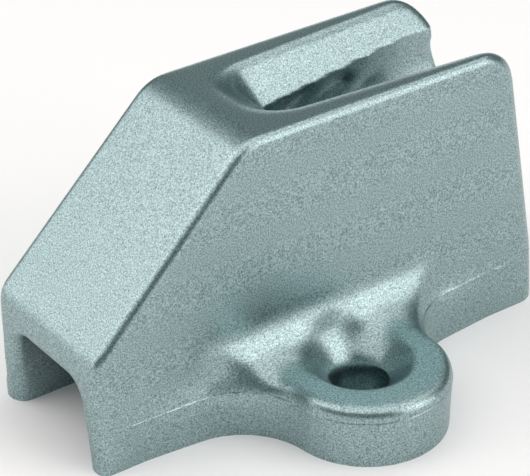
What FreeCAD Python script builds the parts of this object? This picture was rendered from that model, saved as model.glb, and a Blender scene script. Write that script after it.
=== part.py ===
"""Jam cleat: one cast aluminium piece, modelled as one solid.

Frame: +X runs aft, towards the open end of the rope slot, +Y to one side and +Z up.
The origin is midway between the two screw axes, on the flat base.
Lengths are in millimetres and angles in degrees.
"""

import FreeCAD, Part
import math
import os

# Body, seen from the side
HEIGHT = 28.0
FRONT_REACH = 24.6
REAR_REACH = 26.5
NOSE_HEIGHT = 11.5
ROOF_ANGLE = 45.2
REAR_BAND_HEIGHT = 6.0
REAR_BAND_DRAFT = 5.0
REAR_DRAFT = 9.2
NOSE_RADIUS = 3.0
BROW_RADIUS = 4.5
REAR_TOP_RADIUS = 4.4
FRONT_BAND_DRAFT = 3.0
PARTING_HEIGHT = 5.0

# Body, seen from the front
TOP_WIDTH = 15.5
SIDE_DRAFT = 1.35
FRONT_CORNER_RADIUS = 0.95
EDGE_RADIUS = 0.8
REAR_CORNER_RADIUS = 2.4
REAR_TOP_CORNER_RADIUS = 2.0

# Screw lugs
LUG_RADIUS = 7.8
LUG_OUTSET = 0.8
LUG_THICKNESS = 6.0
LUG_DRAFT = 1.5
LUG_EDGE_RADIUS = 1.0
LUG_FADED_RADIUS = 0.9
THROAT_RADIUS = 7.1
THROAT_STANDOFF = 0.6
THROAT_LEDGE = 0.9
RUNOUT_CLEARANCE = 1.0
RUNOUT_DEPTH = 0.15
WALL_FILLET_RADIUS = 4.0

# Screw hole, its countersink and the recess for the screw's head
SCREW_OUTSET = 5.3
SCREW_HOLE_DIAMETER = 5.2
COUNTERSINK_DIAMETER = 9.8
COUNTERSINK_ANGLE = 90.0
HEAD_RECESS_DRAFT = 5.0
HEAD_RECESS_BLEND_RADIUS = 1.0
RECESS_RIM_RADIUS = 1.0

# Rope tunnel under the sloping roof
LEG_THICKNESS = 2.75
TUNNEL_DRAFT = 2.0
MOUTH_HEIGHT = 8.25
MOUTH_LAND = 1.0
TUNNEL_CORNER_RADIUS = 2.0
ARCH_EDGE_RADIUS = 0.75
LEG_EDGE_RADIUS = 1.4

# Rope slot through the top, its flare and the lip below the flare
FRONT_LAND = 4.9
SLOT_WIDTH = 9.6
REAR_WALL_THICKNESS = 1.38
SLOT_END_ROUNDNESS = 0.76
FLARE_ANGLE = 27.0
LIP_DEPTH = 4.6
LIP_RISE = 5.5
RIM_RADIUS = 0.9
RIM_END_RADIUS = 3.2

# Jaws below the lip
JAW_TOP_DEPTH = 4.5
JAW_TOP_WIDTH = 10.0
JAW_ROOT_WIDTH = 2.0
JAW_FLOOR_THICKNESS = 5.0
JAW_ROOT_RADIUS = 0.8
JAW_MOUTH_SETBACK = 1.7

# Tooth grooves in the jaws
TOOTH_PITCH = 2.3
TOOTH_WIDTH = 1.5
TOOTH_DEPTH = 0.6
TOOTH_SLANT = 28.0
TOOTH_TIP_LENGTH = 3.5
TOOTH_REAR_MARGIN = 4.9
TOOTH_TOP_MARGIN = 0.2
TOOTH_ROOT_MARGIN = 1.2
GROOVE_CLEARANCE = 0.1

# Reach of a cutting solid past the face that it cuts, and of a joined one behind its face
OVERCUT = 2.0
SEAT = 0.02


def tan(angle):
    """Tangent of an angle in degrees."""
    return math.tan(math.radians(angle))


def sin(angle):
    """Sine of an angle in degrees."""
    return math.sin(math.radians(angle))


def cos(angle):
    """Cosine of an angle in degrees."""
    return math.cos(math.radians(angle))


# Places that follow from the sizes above
BASE_HALF = TOP_WIDTH / 2 + HEIGHT * tan(SIDE_DRAFT)
BROW_X = -FRONT_REACH + (HEIGHT - NOSE_HEIGHT) / tan(ROOF_ANGLE)
REAR_SHOULDER_X = REAR_REACH - REAR_BAND_HEIGHT * tan(REAR_BAND_DRAFT)
REAR_TOP_X = REAR_SHOULDER_X - (HEIGHT - REAR_BAND_HEIGHT) * tan(REAR_DRAFT)
SCREW_Y = BASE_HALF + SCREW_OUTSET
LUG_CENTRE_Y = SCREW_Y + LUG_OUTSET
WALL_FILLET_TOP = LUG_THICKNESS + WALL_FILLET_RADIUS
SLOT_END_X = BROW_X + FRONT_LAND
REAR_MOUTH_HALF = TOP_WIDTH / 2 - REAR_WALL_THICKNESS
JAW_FRONT_X = SLOT_END_X - JAW_MOUTH_SETBACK
JAW_TOP_Z = HEIGHT - JAW_TOP_DEPTH
JAW_HEIGHT = JAW_TOP_Z - JAW_FLOOR_THICKNESS
JAW_TILT = math.degrees(math.atan2((JAW_TOP_WIDTH - JAW_ROOT_WIDTH) / 2, JAW_HEIGHT))
TOOTH_END_X = REAR_TOP_X - TOOTH_REAR_MARGIN


def side_half_width(z):
    """Half the width of the drafted body at height z."""
    return BASE_HALF - z * tan(SIDE_DRAFT)


def lip_height(x):
    """Height of the lip below the flare, which rises aft."""
    return HEIGHT - LIP_DEPTH + x * tan(LIP_RISE)


def rounded_edges(corners):
    """Edges of a closed outline whose corners are (point, radius), radius 0 for a sharp one."""
    starts = []
    ends = []
    arcs = []
    count = len(corners)
    for index in range(count):
        point, radius = corners[index]
        if radius == 0:
            starts.append(point)
            ends.append(point)
            arcs.append(None)
            continue
        before = (corners[index - 1][0] - point).normalize()
        after = (corners[(index + 1) % count][0] - point).normalize()
        half_angle = before.getAngle(after) / 2
        setback = radius / math.tan(half_angle)
        bisector = (before + after).normalize()
        middle = point + bisector * (radius / math.sin(half_angle) - radius)
        starts.append(point + before * setback)
        ends.append(point + after * setback)
        arcs.append(Part.Arc(starts[-1], middle, ends[-1]).toShape())
    edges = []
    for index in range(count):
        if arcs[index]:
            edges.append(arcs[index])
        edges.append(Part.makeLine(ends[index], starts[(index + 1) % count]))
    return edges


def rounded_wire(corners):
    """Closed wire of an outline with rounded corners."""
    return Part.Wire(rounded_edges(corners))


def slab(corners, direction):
    """Solid extruded along direction from a closed outline of (point, radius) corners."""
    return Part.Face(rounded_wire(corners)).extrude(direction)


def mirrored(shape):
    """The same shape on the other side of the centre plane."""
    return shape.mirror(FreeCAD.Vector(0, 0, 0), FreeCAD.Vector(0, 1, 0))


def filleted(shape, rounds):
    """Shape with edges rounded by (edge, radius at its first end, radius at its last end)."""
    document = FreeCAD.newDocument("fillet")
    source = document.addObject("Part::Feature", "source")
    source.Shape = shape
    rounding = document.addObject("Part::Fillet", "rounding")
    rounding.Base = source
    chosen = []
    for number, candidate in enumerate(shape.Edges, 1):
        for edge, first_radius, last_radius in rounds:
            if candidate.isSame(edge):
                chosen.append((number, first_radius, last_radius))
    rounding.Edges = chosen
    document.recompute()
    result = rounding.Shape.copy()
    FreeCAD.closeDocument(document.Name)
    return result


def side_profile_slab():
    """Side view of the body as a slab, with its nose, brow and rear corner rounded."""
    y = -BASE_HALF - OVERCUT
    corners = [
        (FreeCAD.Vector(-FRONT_REACH + PARTING_HEIGHT * tan(FRONT_BAND_DRAFT), y, 0), 0),
        (FreeCAD.Vector(REAR_REACH, y, 0), 0),
        (FreeCAD.Vector(REAR_SHOULDER_X, y, REAR_BAND_HEIGHT), 0),
        (FreeCAD.Vector(REAR_TOP_X, y, HEIGHT), REAR_TOP_RADIUS),
        (FreeCAD.Vector(BROW_X, y, HEIGHT), BROW_RADIUS),
        (FreeCAD.Vector(-FRONT_REACH, y, NOSE_HEIGHT), NOSE_RADIUS),
        (FreeCAD.Vector(-FRONT_REACH, y, PARTING_HEIGHT), 0),
    ]
    return slab(corners, FreeCAD.Vector(0, -2 * y, 0))


def drafted_block():
    """Block between the two drafted sides, longer than the body."""
    x = -FRONT_REACH - OVERCUT
    top_half = side_half_width(HEIGHT)
    corners = [
        (FreeCAD.Vector(x, -BASE_HALF, 0), 0),
        (FreeCAD.Vector(x, BASE_HALF, 0), 0),
        (FreeCAD.Vector(x, top_half, HEIGHT), 0),
        (FreeCAD.Vector(x, -top_half, HEIGHT), 0),
    ]
    return slab(corners, FreeCAD.Vector(FRONT_REACH + REAR_REACH + 2 * OVERCUT, 0, 0))


def outer_edge_radius(point):
    """Radius of the body's outer edge at a point on it: front corner, roof and top, or rear corner."""
    if point.z < PARTING_HEIGHT + SEAT and point.x < 0:
        return FRONT_CORNER_RADIUS
    if point.x < REAR_TOP_X - REAR_TOP_RADIUS / 2:
        return EDGE_RADIUS
    if point.z < REAR_BAND_HEIGHT + SEAT:
        return REAR_CORNER_RADIUS
    return REAR_TOP_CORNER_RADIUS


def body():
    """Wedge-nosed body, whose outer edges are rounded in one chain along each side."""
    block = side_profile_slab().common(drafted_block())
    rounds = []
    for edge in block.Edges:
        first, last = [edge.valueAt(value) for value in edge.ParameterRange]
        on_side = max(first.y, last.y) < 0
        on_base = max(first.z, last.z) < SEAT
        if on_side and not on_base:
            rounds.append((edge, outer_edge_radius(first), outer_edge_radius(last)))
    rounded = filleted(block, rounds)
    side = Part.makeBox(
        2 * (FRONT_REACH + REAR_REACH), TOP_WIDTH, 2 * HEIGHT,
        FreeCAD.Vector(-FRONT_REACH - REAR_REACH, -TOP_WIDTH, -HEIGHT / 2),
    )
    half = rounded.common(side)
    return half.fuse(mirrored(half)).removeSplitter()


def throat_points(z, ledge, way, end_x):
    """Points of one throat at height z, on the rear side for way 1 and the front side for way -1.

    They are the throat's join with the round end, its middle, the start and end of its run-out, and a
    point inside the wall. The run-out is tangent to the throat and ends inside the wall at end_x.
    """
    inset = abs(z - PARTING_HEIGHT) * tan(LUG_DRAFT)
    radius = THROAT_RADIUS + inset
    centre_y = BASE_HALF + THROAT_STANDOFF - ledge + THROAT_RADIUS
    centre_x = math.sqrt((LUG_RADIUS + THROAT_RADIUS) ** 2 - (centre_y - LUG_CENTRE_Y) ** 2)
    centre = FreeCAD.Vector(centre_x, centre_y, z)
    towards_lug = (FreeCAD.Vector(0, LUG_CENTRE_Y, z) - centre).normalize()
    end = FreeCAD.Vector(end_x, BASE_HALF - RUNOUT_DEPTH - ledge - inset, z)
    reach = end - centre
    bearing = math.atan2(reach.y, reach.x) - math.acos(radius / reach.Length)
    towards_wall = FreeCAD.Vector(math.cos(bearing), math.sin(bearing), 0)
    points = [
        centre + towards_lug * radius,
        centre + (towards_lug + towards_wall).normalize() * radius,
        centre + towards_wall * radius,
        end,
        FreeCAD.Vector(end_x, BASE_HALF - LEG_THICKNESS / 2, z),
    ]
    return [FreeCAD.Vector(way * point.x, point.y, point.z) for point in points]


def lug_outline(z, ledge):
    """Plan outline of one lug at height z, whose throats and run-outs are set in by the ledge."""
    inset = abs(z - PARTING_HEIGHT) * tan(LUG_DRAFT)
    tip = FreeCAD.Vector(0, LUG_CENTRE_Y + LUG_RADIUS - inset, z)
    rear = throat_points(z, ledge, 1, REAR_REACH - REAR_CORNER_RADIUS - RUNOUT_CLEARANCE)
    front = throat_points(z, ledge, -1, FRONT_REACH - FRONT_CORNER_RADIUS - RUNOUT_CLEARANCE)
    return Part.Wire([
        Part.makeLine(front[4], rear[4]),
        Part.makeLine(rear[4], rear[3]),
        Part.makeLine(rear[3], rear[2]),
        Part.Arc(rear[2], rear[1], rear[0]).toShape(),
        Part.Arc(rear[0], tip, front[0]).toShape(),
        Part.Arc(front[0], front[1], front[2]).toShape(),
        Part.makeLine(front[2], front[3]),
        Part.makeLine(front[3], front[4]),
    ])


def lug():
    """Lug on the +Y side, with its top blended into the wall and its top edge rounded."""
    top = WALL_FILLET_TOP + OVERCUT
    lower_outlines = [lug_outline(0, 0), lug_outline(PARTING_HEIGHT, 0)]
    upper_outlines = [lug_outline(PARTING_HEIGHT, THROAT_LEDGE), lug_outline(top, THROAT_LEDGE)]
    prism = Part.makeLoft(lower_outlines, True, True).fuse(Part.makeLoft(upper_outlines, True, True))
    reach = LUG_CENTRE_Y + LUG_RADIUS + OVERCUT
    length = 2 * (FRONT_REACH + REAR_REACH)
    x = -length / 2
    corners = [
        (FreeCAD.Vector(x, 0, 0), 0),
        (FreeCAD.Vector(x, reach, 0), 0),
        (FreeCAD.Vector(x, reach, LUG_THICKNESS), 0),
        (FreeCAD.Vector(x, side_half_width(LUG_THICKNESS) - SEAT, LUG_THICKNESS), WALL_FILLET_RADIUS),
        (FreeCAD.Vector(x, side_half_width(top) - SEAT, top), 0),
        (FreeCAD.Vector(x, 0, top), 0),
    ]
    return prism.common(slab(corners, FreeCAD.Vector(length, 0, 0)))


def lug_edge_radius(point):
    """Radius of the lug's top edge, which fades out where the lug runs into the wall."""
    if point.z > LUG_THICKNESS + SEAT:
        return LUG_FADED_RADIUS
    return LUG_EDGE_RADIUS


def rounded_lug():
    """Lug with its whole top edge rounded, less and less towards the ends."""
    plain = lug()
    rounds = []
    for edge in plain.Edges:
        points = [edge.valueAt(value) for value in edge.ParameterRange]
        points.append(edge.valueAt(sum(edge.ParameterRange) / 2))
        low = min(point.z for point in points)
        high = max(point.z for point in points)
        along_wall = abs(points[0].y - points[1].y) < SEAT and isinstance(edge.Curve, Part.Line)
        if low > LUG_THICKNESS - SEAT and high < WALL_FILLET_TOP and not along_wall:
            rounds.append((edge, lug_edge_radius(points[0]), lug_edge_radius(points[1])))
    return filleted(plain, rounds)


def tunnel():
    """Space under the sloping roof, open at the front and below, with rounded top corners."""
    x = -FRONT_REACH
    ceiling_x = x + MOUTH_LAND + (lip_height(JAW_FRONT_X) - MOUTH_HEIGHT) / tan(ROOF_ANGLE)
    y = -BASE_HALF
    corners = [
        (FreeCAD.Vector(x - OVERCUT, y, -OVERCUT), 0),
        (FreeCAD.Vector(JAW_FRONT_X, y, -OVERCUT), 0),
        (FreeCAD.Vector(JAW_FRONT_X, y, lip_height(JAW_FRONT_X)), 0),
        (FreeCAD.Vector(ceiling_x, y, lip_height(JAW_FRONT_X)), TUNNEL_CORNER_RADIUS),
        (FreeCAD.Vector(x + MOUTH_LAND, y, MOUTH_HEIGHT), MOUTH_LAND),
        (FreeCAD.Vector(x - OVERCUT, y, MOUTH_HEIGHT), 0),
    ]
    profile = slab(corners, FreeCAD.Vector(0, 2 * BASE_HALF, 0))
    base_half = BASE_HALF - LEG_THICKNESS
    low_half = base_half + OVERCUT * tan(TUNNEL_DRAFT)
    top_half = base_half - HEIGHT * tan(TUNNEL_DRAFT)
    section = [
        (FreeCAD.Vector(x - 2 * OVERCUT, -low_half, -OVERCUT), 0),
        (FreeCAD.Vector(x - 2 * OVERCUT, low_half, -OVERCUT), 0),
        (FreeCAD.Vector(x - 2 * OVERCUT, top_half, HEIGHT), 0),
        (FreeCAD.Vector(x - 2 * OVERCUT, -top_half, HEIGHT), 0),
    ]
    space = profile.common(slab(section, FreeCAD.Vector(FRONT_REACH + REAR_REACH, 0, 0)))
    ceiling_edges = []
    for edge in space.Edges:
        first, last = [edge.valueAt(value) for value in edge.ParameterRange]
        along_side = abs(first.x - last.x) > SEAT and first.y * last.y > 0
        if along_side and min(first.z, last.z) > 0:
            ceiling_edges.append(edge)
    return space.makeFillet(TUNNEL_CORNER_RADIUS, ceiling_edges)


def tunnel_edge_radius(point):
    """Radius of the tunnel mouth's edge: large at the foot of a leg, small under the roof."""
    rise = min(point.z / (NOSE_HEIGHT - NOSE_RADIUS), 1)
    return LEG_EDGE_RADIUS + (ARCH_EDGE_RADIUS - LEG_EDGE_RADIUS) * rise


def tunnelled(solid):
    """Body with its tunnel, whose mouth has a rounded edge."""
    hollow = solid.cut(tunnel())
    front_limit = -FRONT_REACH + PARTING_HEIGHT * tan(FRONT_BAND_DRAFT) + SEAT
    rounds = []
    for edge in hollow.Edges:
        first, last = [edge.valueAt(value) for value in edge.ParameterRange]
        top = max(first.z, last.z)
        at_mouth = max(first.x, last.x) < front_limit and SEAT < top < NOSE_HEIGHT - NOSE_RADIUS / 2
        inside = max(abs(first.y), abs(last.y)) < BASE_HALF - LEG_THICKNESS + SEAT
        if at_mouth and inside:
            rounds.append((edge, tunnel_edge_radius(first), tunnel_edge_radius(last)))
    return filleted(hollow, rounds)


def slot_outline(z):
    """Outline of the flared slot at height z: a closed front end with round corners, open aft."""
    inset = (HEIGHT - z) * tan(FLARE_ANGLE)
    front_x = SLOT_END_X + inset
    rear_x = REAR_REACH + OVERCUT

    def half_width(x):
        """Half the width of the slot at x."""
        return SLOT_WIDTH / 2 - inset + (REAR_MOUTH_HALF - SLOT_WIDTH / 2) * x / REAR_TOP_X

    corner_radius = SLOT_END_ROUNDNESS * half_width(front_x)
    corners = [
        (FreeCAD.Vector(front_x, -half_width(front_x), z), corner_radius),
        (FreeCAD.Vector(rear_x, -half_width(rear_x), z), 0),
        (FreeCAD.Vector(rear_x, half_width(rear_x), z), 0),
        (FreeCAD.Vector(front_x, half_width(front_x), z), corner_radius),
    ]
    return rounded_wire(corners)


def flared_slot():
    """Flared part of the slot, from above the top down to below the lip."""
    low = lip_height(SLOT_END_X) - JAW_ROOT_RADIUS
    return Part.makeLoft([slot_outline(low), slot_outline(HEIGHT + OVERCUT)], True, True)


def rim_radius(point):
    """Radius of the slot's rim: large across its closed front end, small along its sides."""
    if point.x < SLOT_END_X + SEAT:
        return RIM_END_RADIUS
    return RIM_RADIUS


def slotted(solid):
    """Body with its flared slot, whose rim is rounded along the top and on down the rear."""
    open_body = solid.cut(flared_slot())
    rounds = []
    for edge in open_body.Edges:
        first, last = [edge.valueAt(value) for value in edge.ParameterRange]
        within = max(abs(first.y), abs(last.y)) < TOP_WIDTH / 2 - EDGE_RADIUS
        on_top = min(first.z, last.z) > HEIGHT - SEAT and min(first.x, last.x) > BROW_X + SLOT_WIDTH / 4
        if within and on_top:
            rounds.append((edge, rim_radius(first), rim_radius(last)))
    return filleted(open_body, rounds)


def jaw_cavity():
    """Space between the jaws: upright walls below the lip, then a vee with a round root."""
    start = JAW_FRONT_X - SEAT
    length = REAR_REACH + OVERCUT - start
    top_half = JAW_TOP_WIDTH / 2
    root_half = JAW_ROOT_WIDTH / 2
    section = [
        (FreeCAD.Vector(start, -root_half, JAW_FLOOR_THICKNESS), JAW_ROOT_RADIUS),
        (FreeCAD.Vector(start, root_half, JAW_FLOOR_THICKNESS), JAW_ROOT_RADIUS),
        (FreeCAD.Vector(start, top_half, JAW_TOP_Z), 0),
        (FreeCAD.Vector(start, top_half, HEIGHT), 0),
        (FreeCAD.Vector(start, -top_half, HEIGHT), 0),
        (FreeCAD.Vector(start, -top_half, JAW_TOP_Z), 0),
    ]
    channel = slab(section, FreeCAD.Vector(length, 0, 0))
    rear = start + length
    below_lip = [
        (FreeCAD.Vector(start, -top_half - OVERCUT, 0), 0),
        (FreeCAD.Vector(rear, -top_half - OVERCUT, 0), 0),
        (FreeCAD.Vector(rear, -top_half - OVERCUT, lip_height(rear)), 0),
        (FreeCAD.Vector(start, -top_half - OVERCUT, lip_height(start)), 0),
    ]
    return channel.common(slab(below_lip, FreeCAD.Vector(0, JAW_TOP_WIDTH + 2 * OVERCUT, 0)))


def tooth_groove(start):
    """Cutting solid of one groove on the +Y jaw, pointed at its start, running forward and down."""
    along_face = FreeCAD.Vector(0, sin(JAW_TILT), cos(JAW_TILT))
    into_wall = FreeCAD.Vector(0, cos(JAW_TILT), -sin(JAW_TILT))
    aft = FreeCAD.Vector(1, 0, 0)
    run = -aft * cos(TOOTH_SLANT) - along_face * sin(TOOTH_SLANT)
    across = aft * sin(TOOTH_SLANT) - along_face * cos(TOOTH_SLANT)
    length = HEIGHT / sin(TOOTH_SLANT)
    full = start + run * TOOTH_TIP_LENGTH

    def section(point):
        """Triangle of the groove, whose open side stands clear of the face."""
        widening = 1 + GROOVE_CLEARANCE / TOOTH_DEPTH
        half = TOOTH_WIDTH / 2 * widening
        clear = point - into_wall * GROOVE_CLEARANCE
        return Part.makePolygon([
            clear - across * half,
            clear + across * half,
            point + into_wall * TOOTH_DEPTH,
            clear - across * half,
        ])

    straight = Part.Face(section(full)).extrude(run * length)
    tip = Part.makeLoft([section(full), Part.Vertex(start)], True, True)
    return straight.fuse(tip)


def tooth_grooves():
    """All grooves of the +Y jaw, clipped to the toothed height and to the jaw's length."""
    low = JAW_FLOOR_THICKNESS + TOOTH_ROOT_MARGIN
    high = JAW_TOP_Z - TOOTH_TOP_MARGIN
    step = TOOTH_PITCH / cos(TOOTH_SLANT)
    grooves = []
    first = FreeCAD.Vector(TOOTH_END_X, JAW_TOP_WIDTH / 2 - TOOTH_TOP_MARGIN * tan(JAW_TILT), high)
    down = FreeCAD.Vector(0, -tan(JAW_TILT), -1)
    count = int((high - low) / step)
    for index in range(count + 1):
        grooves.append(tooth_groove(first + down * (index * step)))
    forward = FreeCAD.Vector(-TOOTH_PITCH / sin(TOOTH_SLANT), 0, 0)
    back_up = FreeCAD.Vector(TOOTH_TIP_LENGTH * cos(TOOTH_SLANT), 0, 0)
    back_up -= down * (TOOTH_TIP_LENGTH * sin(TOOTH_SLANT))
    count = int((TOOTH_END_X - JAW_FRONT_X) / -forward.x)
    for index in range(1, count + 1):
        grooves.append(tooth_groove(first + forward * index + back_up))
    x = JAW_FRONT_X - OVERCUT
    clip = Part.makeBox(TOOTH_END_X - x + OVERCUT, TOP_WIDTH / 2, high - low, FreeCAD.Vector(x, 0, low))
    return [groove.common(clip) for groove in grooves]


def screw_recess():
    """Screw hole on the +Y side with its countersink and the recess for the screw's head above it."""
    hole_radius = SCREW_HOLE_DIAMETER / 2
    rim_radius = COUNTERSINK_DIAMETER / 2
    sink_depth = (rim_radius - hole_radius) / tan(COUNTERSINK_ANGLE / 2)
    recess_top = WALL_FILLET_TOP + OVERCUT
    top_radius = rim_radius + (recess_top - LUG_THICKNESS) * tan(HEAD_RECESS_DRAFT)
    corners = [
        (FreeCAD.Vector(0, 0, -OVERCUT), 0),
        (FreeCAD.Vector(hole_radius, 0, -OVERCUT), 0),
        (FreeCAD.Vector(hole_radius, 0, LUG_THICKNESS - sink_depth), 0),
        (FreeCAD.Vector(rim_radius, 0, LUG_THICKNESS), HEAD_RECESS_BLEND_RADIUS),
        (FreeCAD.Vector(top_radius, 0, recess_top), 0),
        (FreeCAD.Vector(0, 0, recess_top), 0),
    ]
    profile = Part.Face(rounded_wire(corners))
    recess = profile.revolve(FreeCAD.Vector(0, 0, 0), FreeCAD.Vector(0, 0, 1), 360)
    recess.translate(FreeCAD.Vector(0, SCREW_Y, 0))
    return recess


def drilled(solid):
    """Casting with its two screw recesses, whose rims are rounded across the lugs and up the blends."""
    recess = screw_recess()
    open_solid = solid.cut([recess, mirrored(recess)])
    reach = COUNTERSINK_DIAMETER / 2 + HEAD_RECESS_BLEND_RADIUS
    rounds = []
    for edge in open_solid.Edges:
        points = [edge.valueAt(value) for value in edge.ParameterRange]
        points.append(edge.valueAt(sum(edge.ParameterRange) / 2))
        near_screw = max(math.hypot(point.x, abs(point.y) - SCREW_Y) for point in points) < reach
        low = min(point.z for point in points)
        level = max(point.z for point in points) - low < SEAT
        inside = level and low > LUG_THICKNESS + SEAT
        if near_screw and low > LUG_THICKNESS - SEAT and not inside:
            rounds.append((edge, RECESS_RIM_RADIUS, RECESS_RIM_RADIUS))
    return filleted(open_solid, rounds)


def cleat_body():
    """The whole casting."""
    side_lug = rounded_lug()
    solid = slotted(tunnelled(body()))
    solid = solid.fuse([side_lug, mirrored(side_lug)])
    solid = drilled(solid.cut(jaw_cavity()))
    for groove in tooth_grooves():
        solid = solid.cut([groove, mirrored(groove)])
    return solid


if __name__ == "__main__":
    os.makedirs("parts", exist_ok=True)
    cleat_body().exportStep("parts/cleat_body.step")
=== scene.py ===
"""Dresses the jam cleat: one cast aluminium piece on a pale floor, in soft studio light.

Places are in metres in the frame of the CAD part: +X runs aft, +Y to one side and +Z up, and the origin is
midway between the two screw axes, on the base. Sizes of the casting are written in millimetres with MM.
"""

import logging
import math
from collections.abc import Callable
from dataclasses import dataclass, field
from enum import Enum

import bmesh
import bpy
from mathutils import Euler, Matrix, Vector


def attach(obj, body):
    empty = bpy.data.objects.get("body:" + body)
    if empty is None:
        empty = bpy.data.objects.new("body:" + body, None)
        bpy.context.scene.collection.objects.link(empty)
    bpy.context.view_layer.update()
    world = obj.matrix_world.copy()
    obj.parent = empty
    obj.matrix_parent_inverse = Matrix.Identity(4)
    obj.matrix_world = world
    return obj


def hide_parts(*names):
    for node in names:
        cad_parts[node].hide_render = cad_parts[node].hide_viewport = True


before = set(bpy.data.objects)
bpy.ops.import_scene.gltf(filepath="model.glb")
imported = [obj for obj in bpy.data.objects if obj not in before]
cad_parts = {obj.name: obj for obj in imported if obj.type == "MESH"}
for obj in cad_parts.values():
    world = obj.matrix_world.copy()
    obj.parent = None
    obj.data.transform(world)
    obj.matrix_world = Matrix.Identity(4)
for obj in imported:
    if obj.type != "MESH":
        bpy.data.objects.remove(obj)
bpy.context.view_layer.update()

LOG = logging.getLogger("jam_cleat")
MM = 0.001
BODY = "root"
CASTING_NODE = "cleat_body"

HEIGHT_MM = 28.0
SCREW_Y_MM = 13.71
COUNTERSINK_REACH_MM = 5.6
FLANK_MM = 7.4
STEEP = 0.5
STEP_Z_MM = 5.0
LIP_Z_MM = 23.9
LIP_SLOPE = 0.0568


def linear(hex_colour: str) -> tuple[float, float, float, float]:
    """Turns an sRGB colour into the linear colour that Blender's sockets take.

    Args:
        hex_colour: Six hex digits, with or without a leading #.

    Returns:
        Red, green, blue and an alpha of 1.
    """
    digits = hex_colour.lstrip("#")
    channels = [int(digits[start:start + 2], 16) / 255 for start in (0, 2, 4)]
    red, green, blue = [
        value / 12.92 if value <= 0.04045 else ((value + 0.055) / 1.055) ** 2.4 for value in channels
    ]
    return (red, green, blue, 1.0)


def add_node(
    tree: bpy.types.NodeTree,
    kind: str,
    settings: dict[str, object] | None = None,
    **inputs: object,
) -> bpy.types.Node:
    """Adds a node to a tree, with its settings, its input values and its links.

    Args:
        tree: Node tree that the node goes into.
        kind: Blender's name for the kind of node.
        settings: Properties of the node, by name.
        **inputs: Value or output socket for each input, by the input's name with _ for a space, or by its
            number after the letter i.

    Returns:
        The new node.
    """
    node = tree.nodes.new(kind)
    for name, value in (settings or {}).items():
        setattr(node, name, value)
    for name, value in inputs.items():
        key = int(name[1:]) if name[0] == "i" and name[1:].isdigit() else name.replace("_", " ")
        socket = node.inputs[key]
        if isinstance(value, bpy.types.NodeSocket):
            tree.links.new(value, socket)
        else:
            socket.default_value = value
    return node


def only(piece: bpy.types.Object) -> None:
    """Makes one object the only selected and the active one.

    Args:
        piece: Object to select.
    """
    bpy.ops.object.select_all(action="DESELECT")
    piece.select_set(True)
    bpy.context.view_layer.objects.active = piece


def apply_modifier(piece: bpy.types.Object, name: str, kind: str, **settings: object) -> None:
    """Adds one modifier to an object and applies it.

    Args:
        piece: Mesh object.
        name: Name of the modifier.
        kind: Blender's name for the kind of modifier.
        **settings: Properties of the modifier, by name.
    """
    modifier = piece.modifiers.new(name, kind)
    for key, value in settings.items():
        setattr(modifier, key, value)
    only(piece)
    bpy.ops.object.modifier_apply(modifier=name)


def slice_faces(
    mesh: bmesh.types.BMesh, faces: list[bmesh.types.BMFace], place: Vector, normal: Vector,
) -> None:
    """Cuts some faces of a mesh along a plane, and takes nothing away.

    Args:
        mesh: Mesh that holds the faces.
        faces: Faces to cut.
        place: Point of the plane in metres.
        normal: Normal of the plane.
    """
    near = list({vertex for face in faces for vertex in face.verts})
    near += list({edge for face in faces for edge in face.edges})
    bmesh.ops.bisect_plane(mesh, geom=near + faces, dist=0.001 * MM, plane_co=place, plane_no=normal)


def ramp(value: float, none: float, full: float) -> float:
    """Share from 0 at one value to 1 at another, and level beyond both.

    Args:
        value: Value to weigh.
        none: Value at which the share is 0.
        full: Value at which the share is 1.

    Returns:
        The share.
    """
    return min(max((value - none) / (full - none), 0.0), 1.0)


@dataclass(frozen=True)
class CastAnodisedAluminium:
    """Finish of the casting: aluminium, die cast, blasted with fine beads and hard anodised grey.

    The blasting leaves an even grain of tiny dimples, so the metal is matt and its lights are broad, and the
    anodising gives it a cool grey colour that is a little uneven.
    """

    colour: str = "9AAFB0"
    shade: str = "93A8AA"
    roughness: float = 0.34
    grain_mm: float = 0.14
    grain_contrast: float = 1.25
    grain_height_mm: float = 0.008
    mottle_mm: float = 5.0

    def material(self) -> bpy.types.Material:
        """Builds the node material.

        Returns:
            The material.
        """
        material = bpy.data.materials.new("cast_anodised_aluminium")
        material.use_nodes = True
        tree = material.node_tree
        shader = tree.nodes["Principled BSDF"]
        place = add_node(tree, "ShaderNodeTexCoord").outputs["Object"]
        # The dimples of the beads.
        grain = add_node(
            tree, "ShaderNodeTexNoise",
            Vector=place, Scale=1 / (self.grain_mm * MM), Detail=1.5, Roughness=0.6,
        )
        # The cast skin takes the anodising a little unevenly.
        mottle = add_node(
            tree, "ShaderNodeTexNoise",
            Vector=place, Scale=1 / (self.mottle_mm * MM), Detail=3.0, Roughness=0.55,
        )
        tone = add_node(
            tree, "ShaderNodeMix", {"data_type": "RGBA"},
            Factor=mottle.outputs["Fac"], A=linear(self.colour), B=linear(self.shade),
        )
        swing = self.grain_contrast / 2
        speckle = add_node(
            tree, "ShaderNodeMapRange", Value=grain.outputs["Fac"],
            From_Min=0.25, From_Max=0.75, To_Min=1 - swing, To_Max=1 + swing,
        )
        base = add_node(
            tree, "ShaderNodeVectorMath", {"operation": "SCALE"},
            i0=tone.outputs["Result"], Scale=speckle.outputs["Result"],
        )
        bump = add_node(
            tree, "ShaderNodeBump",
            Strength=1.0, Distance=self.grain_height_mm * MM, Height=grain.outputs["Fac"],
        )
        tree.links.new(base.outputs["Vector"], shader.inputs["Base Color"])
        tree.links.new(bump.outputs["Normal"], shader.inputs["Normal"])
        shader.inputs["Metallic"].default_value = 1.0
        shader.inputs["Roughness"].default_value = self.roughness
        return material


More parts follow.
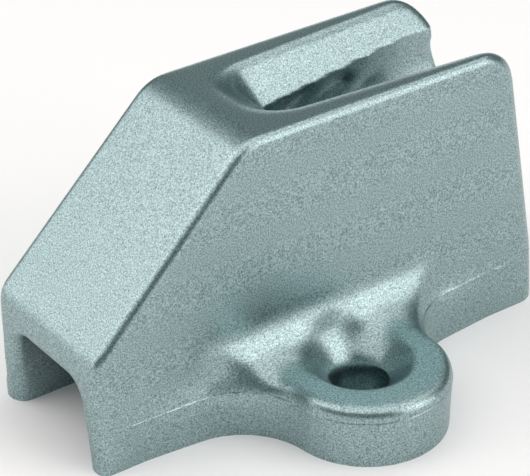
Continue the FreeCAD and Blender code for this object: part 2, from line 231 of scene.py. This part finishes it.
@dataclass(frozen=True)
class Flare:
    """Flare of the rope slot and the lip below it. Its methods take and give millimetres."""

    angle: float
    end_angle: float
    lip_depth_mm: float
    lip_rise: float

    def lip(self, x: float) -> float:
        """Finds the lip's height.

        Args:
            x: Place along the casting.

        Returns:
            Height of the lip there.
        """
        return HEIGHT_MM - self.lip_depth_mm + x * math.tan(math.radians(self.lip_rise))

    def inset(self, z: float, end_share: float = 0.0) -> float:
        """Finds how far the flare has come in.

        Args:
            z: Height on the flare.
            end_share: 0 on a flank, 1 at the front end, and between them in the corner.

        Returns:
            Distance from the flare's mouth.
        """
        angle = self.angle + (self.end_angle - self.angle) * end_share
        return (HEIGHT_MM - z) * math.tan(math.radians(angle))


@dataclass(frozen=True)
class FlareOpening:
    """Opening of the flare from the CAD part's angle to the photograph's, in millimetres.

    The flare turns, the lip rises less and comes in, and the teeth below it are set lower, so that a strip of
    plain wall stays between them and the lip.
    """

    before: Flare = Flare(angle=27.0, end_angle=27.0, lip_depth_mm=4.6, lip_rise=5.5)
    after: Flare = Flare(angle=35.0, end_angle=47.0, lip_depth_mm=4.0, lip_rise=3.25)
    front_x: float = -5.1
    reach_y: float = 6.6
    foot_z: float = 20.0
    rim_z: float = 27.5
    top_z: float = 27.6
    corner_x: float = 2.0
    corner_y: float = 5.3
    mouth_y: float = 4.8
    mouth_widening: float = 0.0701
    strip_before: float = 0.2
    strip_after: float = 1.1
    lip_tolerance: float = 0.1
    tilt_tolerance: float = 0.04
    fade_depth: float = 3.0
    fade_x: tuple[float, float] = (-1.5, 2.0)
    wall_fade: tuple[float, float] = (2.0, 1.0)
    flare_fade: tuple[float, float] = (1.4, 0.1)

    def reaches(self, place: Vector) -> bool:
        """Tells whether a place lies in the part of the casting that moves.

        Args:
            place: Place on the casting.

        Returns:
            Whether it may move.
        """
        beside = place.x < self.front_x or abs(place.y) > self.reach_y
        return not beside and self.foot_z < place.z < self.top_z

    def on_flare(self, normal: Vector) -> bool:
        """Tells whether a face is tilted as the flare is.

        Args:
            normal: Normal of the face.

        Returns:
            Whether it may be a face of the flare.
        """
        return abs(normal.z - math.sin(math.radians(self.before.angle))) < self.tilt_tolerance

    def moved(self, place: Vector, sides: list[Vector]) -> Vector:
        """Finds a vertex's place in the opened flare.

        Args:
            place: Place of the vertex.
            sides: Normals of the flare's faces that meet there.

        Returns:
            The new place, which is the old one where nothing moves.
        """
        in_corner = place.x < self.corner_x
        if in_corner and abs(place.y) > self.corner_y and not sides:
            return place
        lips = (self.before.lip(place.x), self.after.lip(place.x))
        if place.z < lips[0] - self.lip_tolerance and not sides:
            return self.moved_wall(place, lips)
        height = lips[1] + (place.z - lips[0]) * (self.rim_z - lips[1]) / (self.rim_z - lips[0])
        target = Vector((place.x, place.y, height))
        if not in_corner:
            target.y -= math.copysign(self.after.inset(height) - self.before.inset(place.z), place.y)
            return place.lerp(target, self.flank_share(place, lips[0], self.flare_fade))
        if sides:
            inward = sum(sides, Vector())
            inward.z = 0
            inward.normalize()
            end_share = inward.x ** 2
            target += inward * (self.after.inset(height, end_share) - self.before.inset(place.z, end_share))
        return target

    def moved_wall(self, place: Vector, lips: tuple[float, float]) -> Vector:
        """Finds the new place of a vertex of the toothed wall below the lip.

        Args:
            place: Place of the vertex.
            lips: Height of the lip there, before and after.

        Returns:
            The new place.
        """
        room = lips[1] - self.strip_after - self.foot_z
        height = self.foot_z + (place.z - self.foot_z) * room / (lips[0] - self.strip_before - self.foot_z)
        fade = ramp(place.z, lips[0] - self.fade_depth, lips[0]) * ramp(place.x, *self.fade_x)
        shift = self.after.inset(lips[1]) - self.before.inset(lips[0])
        target = Vector((place.x, place.y - math.copysign(shift, place.y) * fade, height))
        if place.x < self.corner_x:
            return target
        return place.lerp(target, self.flank_share(place, lips[0], self.wall_fade))

    def flank_share(self, place: Vector, lip: float, fade: tuple[float, float]) -> float:
        """Finds the share of the move beside a flank, so that the round rear edge follows evenly.

        Args:
            place: Place of the vertex.
            lip: Height of the lip there.
            fade: Distances outside the flank at which the share is 0 and 1.

        Returns:
            The share.
        """
        flank = self.mouth_y - self.before.inset(max(place.z, lip)) + self.mouth_widening * place.x
        return ramp(abs(place.y), flank + fade[0], flank + fade[1])


class Measure(Enum):
    """Measure of a place on the casting, in millimetres."""

    AFT = "place along the casting"
    SIDE = "place across the casting, with its side"
    WIDTH = "distance from the middle plane"
    HEIGHT = "height above the base"
    FROM_SCREW = "distance from the screw's axis"
    FROM_STEP = "distance above or below the step at the parting height"
    FROM_LIP = "height above the line just below the opened flare's lip"


MEASURES: dict[Measure, Callable[[Vector], float]] = {
    Measure.AFT: lambda place: place.x,
    Measure.SIDE: lambda place: place.y,
    Measure.WIDTH: lambda place: abs(place.y),
    Measure.HEIGHT: lambda place: place.z,
    Measure.FROM_SCREW: lambda place: math.hypot(place.x, abs(place.y) - SCREW_Y_MM),
    Measure.FROM_STEP: lambda place: abs(place.z - STEP_Z_MM),
    Measure.FROM_LIP: lambda place: place.z - (LIP_Z_MM + place.x * LIP_SLOPE),
}


# A measure with its value where the softening starts and its value where the softening is full.
Border = tuple[Measure, float, float]


@dataclass(frozen=True)
class Region:
    """Region of the casting that the blasting has softened more than the rest, and what it leaves out."""

    name: str
    passes: int
    borders: tuple[Border, ...]
    spared: tuple[Border, ...] = ()

    def share(self, place: Vector) -> float:
        """Finds the share of the softening.

        Args:
            place: Place on the casting in millimetres.

        Returns:
            The share, from 0 to 1.
        """
        inside = self.within(self.borders, place)
        if not self.spared:
            return inside
        return inside * (1 - self.within(self.spared, place))

    def within(self, borders: tuple[Border, ...], place: Vector) -> float:
        """Finds how far a place is within some borders.

        Args:
            borders: The borders.
            place: Place on the casting in millimetres.

        Returns:
            The share, from 0 to 1.
        """
        return math.prod(ramp(MEASURES[measure](place), none, full) for measure, none, full in borders)


SOFTENED = (
    # The lugs and their blends, up to the edge of the screw hole.
    Region("lugs", 30, (
        (Measure.WIDTH, 7.6, 8.8), (Measure.HEIGHT, 12.5, 10.5), (Measure.FROM_SCREW, 2.75, 3.4),
    )),
    # The necks, where the lugs' rims run out into the throats.
    Region("necks", 95, (
        (Measure.FROM_SCREW, COUNTERSINK_REACH_MM, 6.6), (Measure.WIDTH, FLANK_MM, 8.4),
        (Measure.WIDTH, 16.0, 13.5), (Measure.HEIGHT, 1.5, 3.0), (Measure.HEIGHT, 10.5, 8.5),
    )),
    # The step along the parting height, on the flanks and in the throats.
    Region("band", 280, (
        (Measure.WIDTH, FLANK_MM, 8.0), (Measure.WIDTH, 13.0, 11.5), (Measure.FROM_STEP, 3.4, 1.8),
    )),
    # The slot's flare and lip, but not the far rim, which is crisp.
    Region("slot", 24, (
        (Measure.AFT, -5.2, -4.2), (Measure.WIDTH, 7.2, 6.7), (Measure.HEIGHT, 21.5, 22.5),
    ), spared=((Measure.SIDE, 0.5, 2.5), (Measure.HEIGHT, 26.6, 27.2), (Measure.AFT, -1.0, 1.5))),
    # The slot's rim, at its front end and on the near side.
    Region("rim", 48, (
        (Measure.SIDE, 2.5, 0.5), (Measure.WIDTH, 7.2, 6.7), (Measure.HEIGHT, 26.6, 27.2),
        (Measure.AFT, -8.0, -7.0),
    )),
    # The teeth, which are cast and worn smooth below the lip.
    Region("teeth", 130, (
        (Measure.WIDTH, 6.0, 5.6), (Measure.FROM_LIP, 0.0, -0.5), (Measure.HEIGHT, 10.0, 16.0),
    )),
)


@dataclass
class Casting:
    """The one-piece casting, dressed from the CAD part's own solid."""

    finish: CastAnodisedAluminium = field(default_factory=CastAnodisedAluminium)
    opening: FlareOpening = field(default_factory=FlareOpening)
    grid_mm: float = 0.18
    base_allowance_mm: float = 1.0
    smoothing_passes: int = 6
    kept_share: float = 0.3
    sharp_angle: float = 50.0
    slice_mm: float = 0.5
    slices_aft: range = range(-9, 48)
    slices_up: range = range(40, 55)
    jaw_foot_mm: float = 19.0
    jaw_half_width_mm: float = 7.0
    parting_height_mm: float = 4.7
    parting_climb: float = 0.018
    parting_ridge_mm: float = 0.05
    parting_half_width_mm: float = 0.12
    parting_reach_mm: float = 1.5

    def build(self) -> bpy.types.Object:
        """Builds the dressed casting in the CAD node's place.

        Returns:
            The casting's object.
        """
        piece = self.copied()
        self.open_flare(piece)
        self.extend_base(piece)
        self.even_skin(piece)
        apply_modifier(piece, "softening", "SMOOTH", factor=0.5, iterations=self.smoothing_passes)
        for region in SOFTENED:
            self.soften(piece, region)
        self.cut_base(piece)
        apply_modifier(piece, "thinning", "DECIMATE", ratio=self.kept_share)
        self.raise_parting_line(piece)
        only(piece)
        bpy.ops.object.shade_smooth_by_angle(angle=math.radians(self.sharp_angle))
        piece.data.materials.clear()
        piece.data.materials.append(self.finish.material())
        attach(piece, BODY)
        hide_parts(CASTING_NODE)
        return piece

    def copied(self) -> bpy.types.Object:
        """Copies the CAD node and merges its loose triangles into one closed surface.

        Returns:
            The copy, free of any parent.
        """
        only(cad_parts[CASTING_NODE])
        bpy.ops.object.duplicate()
        piece = bpy.context.view_layer.objects.active
        piece.name = "cleat_casting"
        piece.data.name = "cleat_casting"
        for key in list(piece.keys()):
            del piece[key]
        piece.parent = None
        piece.matrix_world = Matrix.Identity(4)
        only(piece)
        bpy.ops.object.mode_set(mode="EDIT")
        bpy.ops.mesh.select_all(action="SELECT")
        bpy.ops.mesh.remove_doubles(threshold=0.001 * MM)
        bpy.ops.object.mode_set(mode="OBJECT")
        return piece

    def open_flare(self, piece: bpy.types.Object) -> None:
        """Opens the slot's flare to the photograph's angle, with a lip that rises less.

        Args:
            piece: The copied casting.
        """
        mesh = bmesh.new()
        mesh.from_mesh(piece.data)
        for step in self.slices_aft:
            place = Vector((step * self.slice_mm, 0, 0)) * MM
            slice_faces(mesh, self.jaw_faces(mesh), place, Vector((1, 0, 0)))
        for step in self.slices_up:
            place = Vector((0, 0, step * self.slice_mm)) * MM
            slice_faces(mesh, self.jaw_faces(mesh), place, Vector((0, 0, 1)))
        mesh.normal_update()
        moves = []
        for vertex in mesh.verts:
            place = vertex.co / MM
            if self.opening.reaches(place):
                sides = [face.normal for face in vertex.link_faces if self.opening.on_flare(face.normal)]
                moves.append((vertex, self.opening.moved(place, sides) * MM))
        for vertex, target in moves:
            vertex.co = target
        mesh.to_mesh(piece.data)
        mesh.free()

    def jaw_faces(self, mesh: bmesh.types.BMesh) -> list[bmesh.types.BMFace]:
        """Lists the faces round the slot.

        Args:
            mesh: Mesh of the copied casting.

        Returns:
            The faces with a corner in the slot's reach.
        """
        foot, reach = self.jaw_foot_mm * MM, self.jaw_half_width_mm * MM
        return [
            face for face in mesh.faces
            if any(vertex.co.z > foot and abs(vertex.co.y) < reach for vertex in face.verts)
        ]

    def extend_base(self, piece: bpy.types.Object) -> None:
        """Carries the base down past the floor, so that the softening leaves its edge crisp.

        Args:
            piece: The copied casting.
        """
        mesh = bmesh.new()
        mesh.from_mesh(piece.data)
        base = [
            face for face in mesh.faces
            if face.normal.z < -0.99 and face.calc_center_median().z < 0.01 * MM
        ]
        grown = bmesh.ops.extrude_face_region(mesh, geom=base)
        moved = [part for part in grown["geom"] if isinstance(part, bmesh.types.BMVert)]
        bmesh.ops.translate(mesh, verts=moved, vec=(0, 0, -self.base_allowance_mm * MM))
        bmesh.ops.delete(mesh, geom=base, context="FACES")
        mesh.to_mesh(piece.data)
        mesh.free()

    def even_skin(self, piece: bpy.types.Object) -> None:
        """Gives the casting an even skin of small faces, laid on its own surface.

        Args:
            piece: The copied casting.
        """
        surface = bpy.data.objects.new("surface", piece.data.copy())
        bpy.context.scene.collection.objects.link(surface)
        apply_modifier(piece, "skin", "REMESH", mode="VOXEL", voxel_size=self.grid_mm * MM)
        apply_modifier(piece, "fit", "SHRINKWRAP", target=surface, wrap_method="NEAREST_SURFACEPOINT")
        bpy.data.objects.remove(surface, do_unlink=True)

    def soften(self, piece: bpy.types.Object, region: Region) -> None:
        """Softens one region of the casting.

        Args:
            piece: The casting.
            region: The region and how far it is softened.
        """
        group = piece.vertex_groups.new(name=region.name)
        for vertex in piece.data.vertices:
            group.add([vertex.index], region.share(vertex.co / MM), "REPLACE")
        apply_modifier(
            piece, region.name, "SMOOTH", factor=0.5, iterations=region.passes, vertex_group=region.name,
        )

    def cut_base(self, piece: bpy.types.Object) -> None:
        """Cuts the casting off flat at the floor.

        Args:
            piece: The softened casting.
        """
        mesh = bmesh.new()
        mesh.from_mesh(piece.data)
        parts = mesh.verts[:] + mesh.edges[:] + mesh.faces[:]
        cut = bmesh.ops.bisect_plane(
            mesh, geom=parts, dist=0.0005 * MM, plane_co=(0, 0, 0), plane_no=(0, 0, 1), clear_inner=True,
        )
        rim = [part for part in cut["geom_cut"] if isinstance(part, bmesh.types.BMEdge)]
        bmesh.ops.holes_fill(mesh, edges=rim, sides=0)
        mesh.to_mesh(piece.data)
        mesh.free()

    def raise_parting_line(self, piece: bpy.types.Object) -> None:
        """Raises the fine ridge that the two halves of the die left along the flanks and the lugs.

        Args:
            piece: The softened casting.
        """
        mesh = bmesh.new()
        mesh.from_mesh(piece.data)
        normal = Vector((-self.parting_climb, 0, 1)).normalized()
        half = self.parting_half_width_mm
        for offset in (-half, 0, half):
            centre = Vector((0, 0, self.parting_height_mm + offset)) * MM
            band = [face for face in mesh.faces if self.by_parting_line(face, centre, normal)]
            slice_faces(mesh, band, centre, normal)
        mesh.normal_update()
        centre = Vector((0, 0, self.parting_height_mm)) * MM
        crest = []
        for vertex in mesh.verts:
            if abs((vertex.co - centre).dot(normal)) < 0.0005 * MM and abs(vertex.co.y) > FLANK_MM * MM:
                if all(abs(face.normal.z) < STEEP for face in vertex.link_faces):
                    crest.append((vertex, Vector((vertex.normal.x, vertex.normal.y, 0)).normalized()))
        for vertex, outward in crest:
            vertex.co += outward * self.parting_ridge_mm * MM
        mesh.to_mesh(piece.data)
        mesh.free()

    def by_parting_line(self, face: bmesh.types.BMFace, centre: Vector, normal: Vector) -> bool:
        """Tells whether a face lies on an outer flank or a lug's side, near the parting line.

        Args:
            face: Face of the casting.
            centre: Point of the parting plane.
            normal: Normal of the parting plane.

        Returns:
            Whether the parting line may cross the face.
        """
        middle = face.calc_center_median()
        near = abs((middle - centre).dot(normal)) < self.parting_reach_mm * MM
        from_screw = math.hypot(middle.x, abs(middle.y) - SCREW_Y_MM * MM)
        outside = abs(middle.y) > FLANK_MM * MM and from_screw > COUNTERSINK_REACH_MM * MM
        return near and outside and abs(face.normal.z) < STEEP


@dataclass(frozen=True)
class Softbox:
    """Lamp of the studio, which faces the casting from a direction.

    Its size is in metres, and its brightness is 1 where its face is white.
    """

    name: str
    direction: tuple[float, float, float]
    width: float
    height: float
    brightness: float


SOFTBOXES = (
    Softbox("overhead_softbox", (-0.02, -0.05, 1.00), 1.22, 0.96, 1.3),
    Softbox("left_back_softbox", (-0.70, 0.55, 0.45), 0.58, 0.58, 1.55),
    Softbox("right_front_softbox", (0.50, -0.78, 0.38), 0.48, 0.48, 2.1),
    Softbox("right_back_strip", (0.50, 0.84, 0.13), 0.22, 0.22, 1.2),
)


@dataclass
class Studio:
    """Pale floor, soft lamps and the camera."""

    azimuth: float = -36.224
    elevation: float = 31.243
    distance_mm: float = 233.596
    aim_right_mm: float = 0.502
    aim_up_mm: float = -10.157
    lens_mm: float = 167.14
    sensor_mm: float = 36.0
    floor_size: float = 3.0
    floor_colour: str = "F3F3F3"
    floor_roughness: float = 0.9
    floor_lift: float = 0.03
    lamp_colour: str = "FFF7F6"
    lamp_distance: float = 0.6
    world_colour: str = "E0FFFF"
    world_strength: float = 0.2

    def build(self) -> None:
        """Builds the floor, the world, the lamps and the camera."""
        self.floor()
        self.world()
        for softbox in SOFTBOXES:
            self.lamp(softbox)
        self.camera()

    def floor(self) -> None:
        """Builds the floor, which looks white to the camera and keeps the casting's shadow."""
        bpy.ops.object.select_all(action="DESELECT")
        bpy.ops.mesh.primitive_plane_add(size=self.floor_size, location=(0, 0, 0))
        floor = bpy.context.view_layer.objects.active
        floor.name = "floor"
        material = bpy.data.materials.new("pale_paper")
        material.use_nodes = True
        tree = material.node_tree
        shader = tree.nodes["Principled BSDF"]
        shader.inputs["Base Color"].default_value = linear(self.floor_colour)
        shader.inputs["Roughness"].default_value = self.floor_roughness
        shader.inputs["Specular IOR Level"].default_value = 0.0
        rays = add_node(tree, "ShaderNodeLightPath")
        lift = add_node(
            tree, "ShaderNodeMath", {"operation": "MULTIPLY"},
            i0=rays.outputs["Is Camera Ray"], i1=self.floor_lift,
        )
        shader.inputs["Emission Color"].default_value = (1, 1, 1, 1)
        tree.links.new(lift.outputs["Value"], shader.inputs["Emission Strength"])
        floor.data.materials.append(material)

    def world(self) -> None:
        """Sets the soft light from all round, and white behind everything the camera sees."""
        world = bpy.data.worlds.new("studio")
        bpy.context.scene.world = world
        world.use_nodes = True
        tree = world.node_tree
        rays = add_node(tree, "ShaderNodeLightPath")
        around = tree.nodes["Background"]
        around.inputs["Color"].default_value = linear(self.world_colour)
        around.inputs["Strength"].default_value = self.world_strength
        white = add_node(tree, "ShaderNodeBackground", Color=(1, 1, 1, 1), Strength=1.0)
        mixed = add_node(
            tree, "ShaderNodeMixShader", Fac=rays.outputs["Is Camera Ray"], i1=around.outputs["Background"],
            i2=white.outputs["Background"],
        )
        tree.links.new(mixed.outputs["Shader"], tree.nodes["World Output"].inputs["Surface"])

    def lamp(self, softbox: Softbox) -> None:
        """Adds one softbox.

        Args:
            softbox: The lamp's direction, size and brightness.
        """
        direction = Vector(softbox.direction)
        light = bpy.data.lights.new(softbox.name, "AREA")
        light.shape = "RECTANGLE"
        light.size = softbox.width
        light.size_y = softbox.height
        light.color = linear(self.lamp_colour)[:3]
        light.energy = softbox.brightness * math.pi * softbox.width * softbox.height
        lamp = bpy.data.objects.new(softbox.name, light)
        lamp.location = direction.normalized() * self.lamp_distance
        lamp.rotation_euler = direction.to_track_quat("Z", "Y").to_euler()
        bpy.context.scene.collection.objects.link(lamp)

    def camera(self) -> None:
        """Adds the camera at the photograph's viewing angle."""
        turn = Euler((math.radians(90 - self.elevation), 0, math.radians(self.azimuth))).to_matrix()
        right, up, back = turn.col
        data = bpy.data.cameras.new("camera")
        data.sensor_width = self.sensor_mm
        data.lens = self.lens_mm
        camera = bpy.data.objects.new("camera", data)
        place = back * self.distance_mm - right * self.aim_right_mm - up * self.aim_up_mm
        camera.location = place * MM
        camera.rotation_euler = turn.to_euler()
        bpy.context.scene.collection.objects.link(camera)
        bpy.context.scene.camera = camera


def main() -> None:
    """Builds the casting and the studio, and reports the piece."""
    logging.basicConfig(level=logging.INFO)
    bpy.context.scene.view_settings.view_transform = "Standard"
    piece = Casting().build()
    LOG.info("%s: %d faces", piece.name, len(piece.data.polygons))
    Studio().build()


if __name__ == "__main__":
    main()
